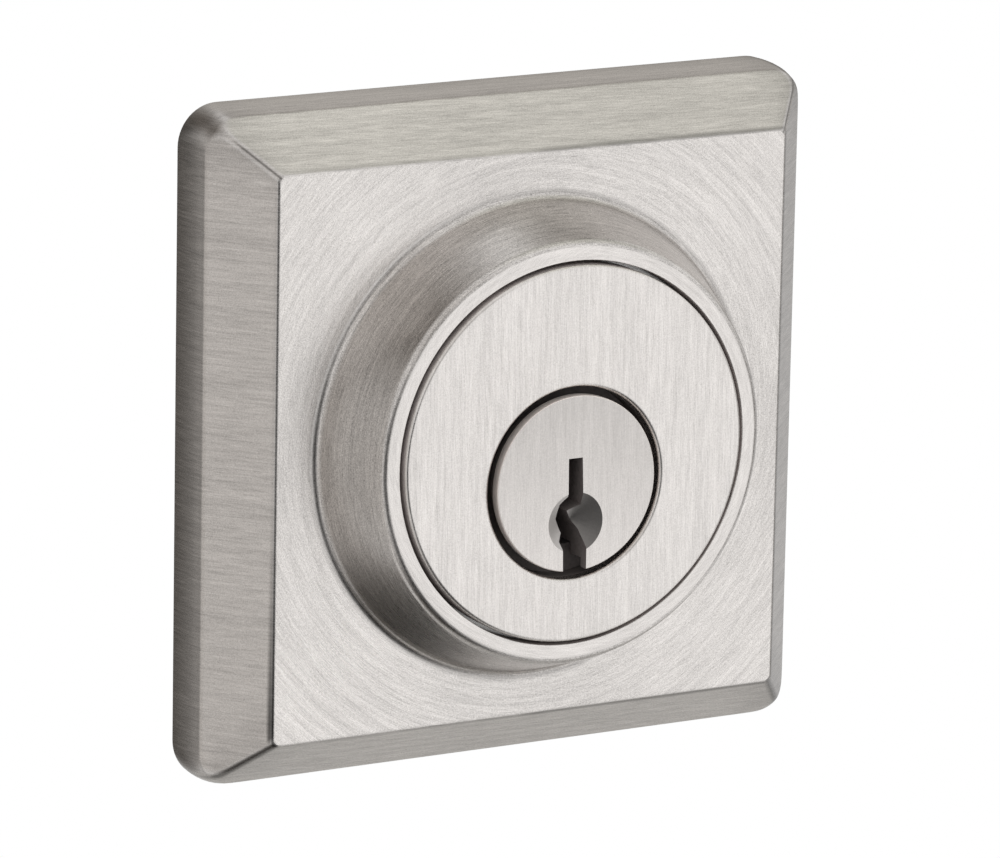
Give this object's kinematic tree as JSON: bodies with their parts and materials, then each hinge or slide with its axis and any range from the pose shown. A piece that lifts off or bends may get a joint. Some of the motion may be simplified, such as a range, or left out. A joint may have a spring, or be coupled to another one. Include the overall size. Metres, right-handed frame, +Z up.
{
  "type": "deadbolt door lock",
  "caption": "Outside half of a deadbolt: a square bevelled satin nickel rose with a round collar, holding a pin-tumbler cylinder, screw posts and a tailpiece.",
  "frame": {"origin": "on the collar's axis, in the plane where the rose meets the door's outside face", "axes": "+Z up, +Y into the door along the collar's axis, -Y out of the door towards the person with the key, +X to that person's right"},
  "size_m": [0.0636, 0.0646, 0.0636],
  "materials": {
    "satin_nickel_rose": "satin nickel plate, finely brushed, on a zinc casting",
    "satin_nickel_face": "satin nickel plate, brushed up and down",
    "satin_nickel_plug": "brass with satin nickel plate, brushed up and down",
    "zinc_casting": "die-cast zinc, as cast with machined bores",
    "spring_steel": "bright drawn wire and strip",
    "hardened_steel": "hardened and blackened",
    "plated_steel": "zinc-plated steel",
    "screw_steel": "zinc-plated steel",
    "pin_brass": "turned brass",
    "driver_nickel_silver": "turned nickel silver",
    "cap_brass": "turned brass with milled notches",
    "tail_steel": "zinc-plated strip steel"
  },
  "bodies": {
    "lock_body": {"rose_plate": "satin_nickel_rose", "cylinder_face": "satin_nickel_face", "cylinder_housing": "zinc_casting", "wave_washer": "spring_steel", "guard_ring": "hardened_steel", "retainer_plate": "plated_steel", "retainer_screw_1": "screw_steel", "retainer_screw_2": "screw_steel", "retainer_screw_3": "screw_steel", "retainer_screw_4": "screw_steel", "screw_post_left": "plated_steel", "screw_post_right": "plated_steel", "chamber_cover": "pin_brass", "drill_pin_left": "hardened_steel", "drill_pin_right": "hardened_steel", "pin_spring_1": "spring_steel", "pin_spring_2": "spring_steel", "pin_spring_3": "spring_steel", "pin_spring_4": "spring_steel", "pin_spring_5": "spring_steel"},
    "plug": {"plug": "satin_nickel_plug", "plug_cap": "cap_brass"},
    "tailpiece": {"tailpiece": "tail_steel"},
    "key_pin_1": {"key_pin_1": "pin_brass"},
    "key_pin_2": {"key_pin_2": "pin_brass"},
    "key_pin_3": {"key_pin_3": "pin_brass"},
    "key_pin_4": {"key_pin_4": "pin_brass"},
    "key_pin_5": {"key_pin_5": "pin_brass"},
    "driver_pin_1": {"driver_pin_1": "driver_nickel_silver"},
    "driver_pin_2": {"driver_pin_2": "driver_nickel_silver"},
    "driver_pin_3": {"driver_pin_3": "driver_nickel_silver"},
    "driver_pin_4": {"driver_pin_4": "driver_nickel_silver"},
    "driver_pin_5": {"driver_pin_5": "driver_nickel_silver"}
  },
  "joints": [
    {"name": "plug_turn", "type": "hinge", "parent": "lock_body", "child": "plug", "pos_m": [0, 0, -0.0027], "axis": [0, 1, 0], "range_deg": [-90, 90]},
    {"name": "tailpiece_play", "type": "hinge", "parent": "plug", "child": "tailpiece", "pos_m": [0, 0, -0.0027], "axis": [0, 1, 0], "range_deg": [-45, 45]},
    {"name": "key_pin_1_drop", "type": "slide", "parent": "plug", "child": "key_pin_1", "axis": [0, 0, 1], "range_m": [-0.00363, 0]},
    {"name": "key_pin_2_drop", "type": "slide", "parent": "plug", "child": "key_pin_2", "axis": [0, 0, 1], "range_m": [-0.00203, 0]},
    {"name": "key_pin_3_drop", "type": "slide", "parent": "plug", "child": "key_pin_3", "axis": [0, 0, 1], "range_m": [-0.00293, 0]},
    {"name": "key_pin_4_drop", "type": "slide", "parent": "plug", "child": "key_pin_4", "axis": [0, 0, 1], "range_m": [-0.00133, 0]},
    {"name": "key_pin_5_drop", "type": "slide", "parent": "plug", "child": "key_pin_5", "axis": [0, 0, 1], "range_m": [-0.00243, 0]},
    {"name": "driver_pin_1_lift", "type": "slide", "parent": "lock_body", "child": "driver_pin_1", "axis": [0, 0, 1], "range_m": [0, 0.00087], "stiffness_N_per_m": 80, "deforming": ["pin_spring_1"]},
    {"name": "driver_pin_2_lift", "type": "slide", "parent": "lock_body", "child": "driver_pin_2", "axis": [0, 0, 1], "range_m": [0, 0.00247], "stiffness_N_per_m": 80, "deforming": ["pin_spring_2"]},
    {"name": "driver_pin_3_lift", "type": "slide", "parent": "lock_body", "child": "driver_pin_3", "axis": [0, 0, 1], "range_m": [0, 0.00157], "stiffness_N_per_m": 80, "deforming": ["pin_spring_3"]},
    {"name": "driver_pin_4_lift", "type": "slide", "parent": "lock_body", "child": "driver_pin_4", "axis": [0, 0, 1], "range_m": [0, 0.00317], "stiffness_N_per_m": 80, "deforming": ["pin_spring_4"]},
    {"name": "driver_pin_5_lift", "type": "slide", "parent": "lock_body", "child": "driver_pin_5", "axis": [0, 0, 1], "range_m": [0, 0.00207], "stiffness_N_per_m": 80, "deforming": ["pin_spring_5"]}
  ]
}
